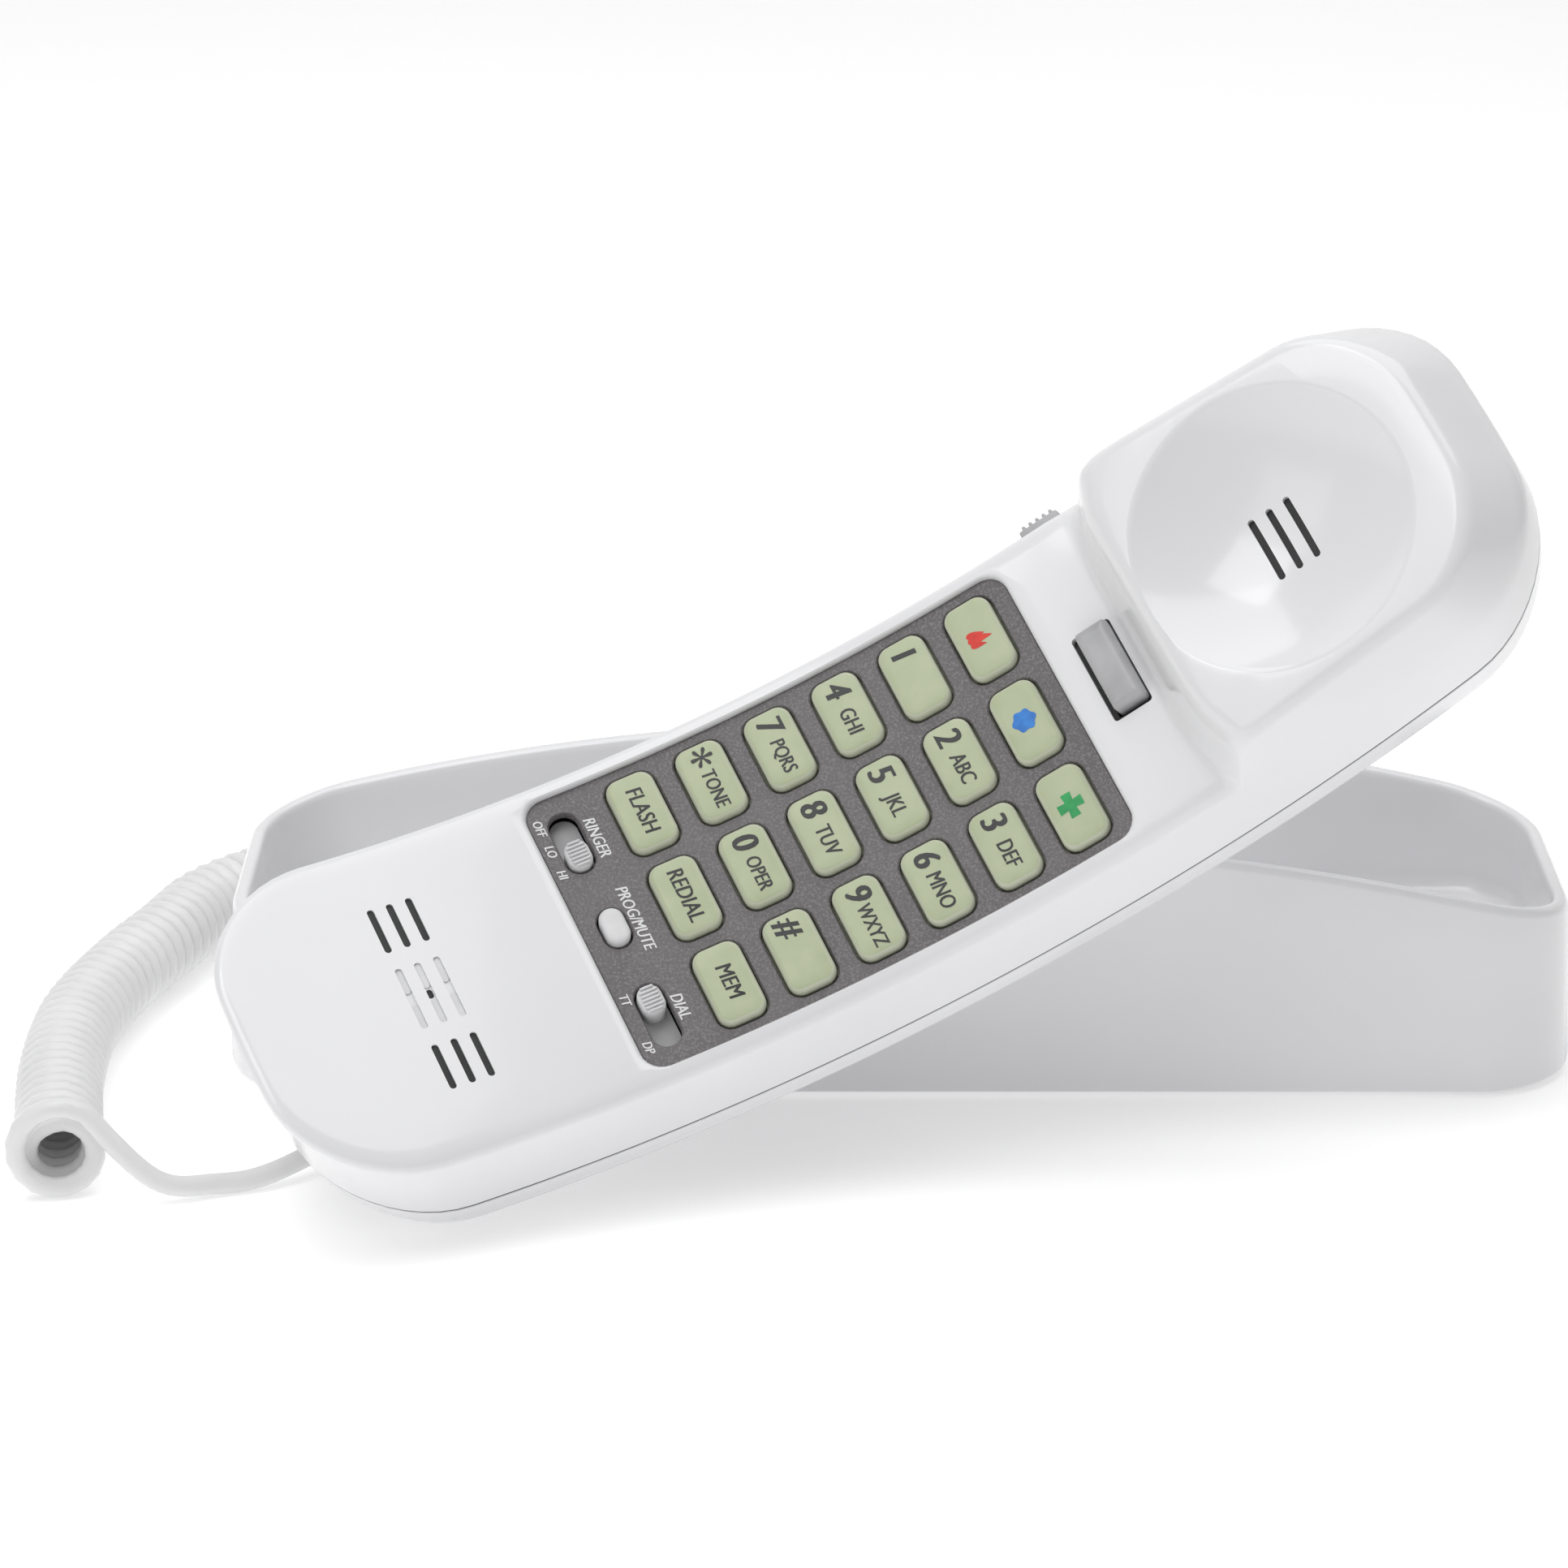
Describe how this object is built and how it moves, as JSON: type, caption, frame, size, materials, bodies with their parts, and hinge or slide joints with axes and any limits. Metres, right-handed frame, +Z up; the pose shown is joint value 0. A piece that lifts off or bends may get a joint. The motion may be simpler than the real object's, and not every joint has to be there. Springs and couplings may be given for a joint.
{
  "type": "slimline corded telephone",
  "caption": "Slimline corded telephone: a boat-shaped base, an arched handset with a keypad in its face leaning on it, and a curly handset cord.",
  "frame": {"origin": "middle of the base's length and width, on the surface that its four rubber feet stand on", "axes": "+Z up; +X along the base towards the earpiece end; +Y towards the base's rear wall, which carries the sockets"},
  "size_m": [0.2543, 0.1808, 0.1392],
  "materials": {
    "shell_white": "glossy moulded shell",
    "steel": "plated steel",
    "foot_rubber": "soft grey rubber",
    "jack_ivory": "moulded socket",
    "wire_red": "insulated wire",
    "panel_grey": "finely textured panel",
    "key_green": "satin pale green, pad-printed legends",
    "mat_rubber": "silicone rubber",
    "board_green": "solder mask",
    "receiver_grey": "moulded capsule",
    "brass_can": "thin plated brass",
    "hook_grey": "satin moulded",
    "switch_black": "moulded",
    "knob_light": "satin, ribbed",
    "knob_grey": "satin, ribbed",
    "cord_white": "flexible jacket",
    "plug_clear": "clear plug"
  },
  "bodies": {
    "base": {"base_wall_near": "shell_white", "base_wall_far": "shell_white", "base_end_mouth": "shell_white", "base_end_ear": "shell_white", "base_deck": "shell_white", "base_bottom": "shell_white", "base_weight": "steel", "base_feet": "foot_rubber", "base_screws": "steel", "line_jack": "jack_ivory", "base_handset_jack": "jack_ivory", "base_wires": "wire_red", "coil": "cord_white", "tail_base": "cord_white", "plug_base": "plug_clear"},
    "handset": {"front_shell": "shell_white", "back_shell": "shell_white", "keypad_panel": "panel_grey", "key_mat": "mat_rubber", "main_board": "board_green", "receiver": "receiver_grey", "receiver_seal": "mat_rubber", "microphone": "brass_can", "mic_boot": "mat_rubber", "ringer": "brass_can", "hook_spring": "steel", "hook_switch": "switch_black", "ringer_switch": "switch_black", "dial_switch": "switch_black", "volume_pot": "switch_black", "handset_jack": "jack_ivory", "handset_screws": "steel", "board_screws": "steel", "tail_handset": "cord_white", "plug_handset": "plug_clear"},
    "key_fire": {"key_fire": "key_green"},
    "key_police": {"key_police": "key_green"},
    "key_medical": {"key_medical": "key_green"},
    "key_1": {"key_1": "key_green"},
    "key_2": {"key_2": "key_green"},
    "key_3": {"key_3": "key_green"},
    "key_4": {"key_4": "key_green"},
    "key_5": {"key_5": "key_green"},
    "key_6": {"key_6": "key_green"},
    "key_7": {"key_7": "key_green"},
    "key_8": {"key_8": "key_green"},
    "key_9": {"key_9": "key_green"},
    "key_star": {"key_star": "key_green"},
    "key_0": {"key_0": "key_green"},
    "key_pound": {"key_pound": "key_green"},
    "key_flash": {"key_flash": "key_green"},
    "key_redial": {"key_redial": "key_green"},
    "key_mem": {"key_mem": "key_green"},
    "hook_button": {"hook_button": "hook_grey"},
    "prog_button": {"prog_button": "knob_light"},
    "ringer_knob": {"ringer_knob": "knob_light"},
    "dial_knob": {"dial_knob": "knob_light"},
    "volume_knob": {"volume_knob": "knob_grey"}
  },
  "joints": [
    {"name": "handset_lift", "type": "slide", "parent": "base", "child": "handset", "axis": [0, -0.5, 0.866], "range_m": [0, 0.15]},
    {"name": "key_fire_press", "type": "slide", "parent": "handset", "child": "key_fire", "axis": [0.3062, 0.765, -0.5666], "range_m": [0, 0.0012], "stiffness_N_per_m": 400, "springref_m": -0.0005},
    {"name": "key_police_press", "type": "slide", "parent": "handset", "child": "key_police", "axis": [0.3062, 0.765, -0.5666], "range_m": [0, 0.0012], "stiffness_N_per_m": 400, "springref_m": -0.0005},
    {"name": "key_medical_press", "type": "slide", "parent": "handset", "child": "key_medical", "axis": [0.3062, 0.765, -0.5666], "range_m": [0, 0.0012], "stiffness_N_per_m": 400, "springref_m": -0.0005},
    {"name": "key_1_press", "type": "slide", "parent": "handset", "child": "key_1", "axis": [0.2523, 0.7607, -0.5981], "range_m": [0, 0.0012], "stiffness_N_per_m": 400, "springref_m": -0.0005},
    {"name": "key_2_press", "type": "slide", "parent": "handset", "child": "key_2", "axis": [0.2523, 0.7607, -0.5981], "range_m": [0, 0.0012], "stiffness_N_per_m": 400, "springref_m": -0.0005},
    {"name": "key_3_press", "type": "slide", "parent": "handset", "child": "key_3", "axis": [0.2523, 0.7607, -0.5981], "range_m": [0, 0.0012], "stiffness_N_per_m": 400, "springref_m": -0.0005},
    {"name": "key_4_press", "type": "slide", "parent": "handset", "child": "key_4", "axis": [0.1973, 0.7534, -0.6273], "range_m": [0, 0.0012], "stiffness_N_per_m": 400, "springref_m": -0.0005},
    {"name": "key_5_press", "type": "slide", "parent": "handset", "child": "key_5", "axis": [0.1973, 0.7534, -0.6273], "range_m": [0, 0.0012], "stiffness_N_per_m": 400, "springref_m": -0.0005},
    {"name": "key_6_press", "type": "slide", "parent": "handset", "child": "key_6", "axis": [0.1973, 0.7534, -0.6273], "range_m": [0, 0.0012], "stiffness_N_per_m": 400, "springref_m": -0.0005},
    {"name": "key_7_press", "type": "slide", "parent": "handset", "child": "key_7", "axis": [0.1416, 0.7432, -0.654], "range_m": [0, 0.0012], "stiffness_N_per_m": 400, "springref_m": -0.0005},
    {"name": "key_8_press", "type": "slide", "parent": "handset", "child": "key_8", "axis": [0.1416, 0.7432, -0.654], "range_m": [0, 0.0012], "stiffness_N_per_m": 400, "springref_m": -0.0005},
    {"name": "key_9_press", "type": "slide", "parent": "handset", "child": "key_9", "axis": [0.1416, 0.7432, -0.654], "range_m": [0, 0.0012], "stiffness_N_per_m": 400, "springref_m": -0.0005},
    {"name": "key_star_press", "type": "slide", "parent": "handset", "child": "key_star", "axis": [0.0853, 0.73, -0.6781], "range_m": [0, 0.0012], "stiffness_N_per_m": 400, "springref_m": -0.0005},
    {"name": "key_0_press", "type": "slide", "parent": "handset", "child": "key_0", "axis": [0.0853, 0.73, -0.6781], "range_m": [0, 0.0012], "stiffness_N_per_m": 400, "springref_m": -0.0005},
    {"name": "key_pound_press", "type": "slide", "parent": "handset", "child": "key_pound", "axis": [0.0853, 0.73, -0.6781], "range_m": [0, 0.0012], "stiffness_N_per_m": 400, "springref_m": -0.0005},
    {"name": "key_flash_press", "type": "slide", "parent": "handset", "child": "key_flash", "axis": [0.0287, 0.714, -0.6996], "range_m": [0, 0.0012], "stiffness_N_per_m": 400, "springref_m": -0.0005},
    {"name": "key_redial_press", "type": "slide", "parent": "handset", "child": "key_redial", "axis": [0.0287, 0.714, -0.6996], "range_m": [0, 0.0012], "stiffness_N_per_m": 400, "springref_m": -0.0005},
    {"name": "key_mem_press", "type": "slide", "parent": "handset", "child": "key_mem", "axis": [0.0287, 0.714, -0.6996], "range_m": [0, 0.0012], "stiffness_N_per_m": 400, "springref_m": -0.0005},
    {"name": "hook_press", "type": "slide", "parent": "handset", "child": "hook_button", "axis": [0.3772, 0.766, -0.5205], "range_m": [0, 0.0024], "stiffness_N_per_m": 300, "springref_m": -0.001},
    {"name": "prog_press", "type": "slide", "parent": "handset", "child": "prog_button", "axis": [-0.0285, 0.695, -0.7184], "range_m": [0, 0.001], "stiffness_N_per_m": 400, "springref_m": -0.0005},
    {"name": "ringer_slide", "type": "slide", "parent": "handset", "child": "ringer_knob", "axis": [-0.424, 0.6425, 0.6383], "range_m": [0, 0.005]},
    {"name": "dial_slide", "type": "slide", "parent": "handset", "child": "dial_knob", "axis": [0.424, -0.6425, -0.6383], "range_m": [0, 0.005]},
    {"name": "volume_slide", "type": "slide", "parent": "handset", "child": "volume_knob", "axis": [0.8226, -0.0217, 0.5683], "range_m": [-0.0026, 0.0026]}
  ]
}
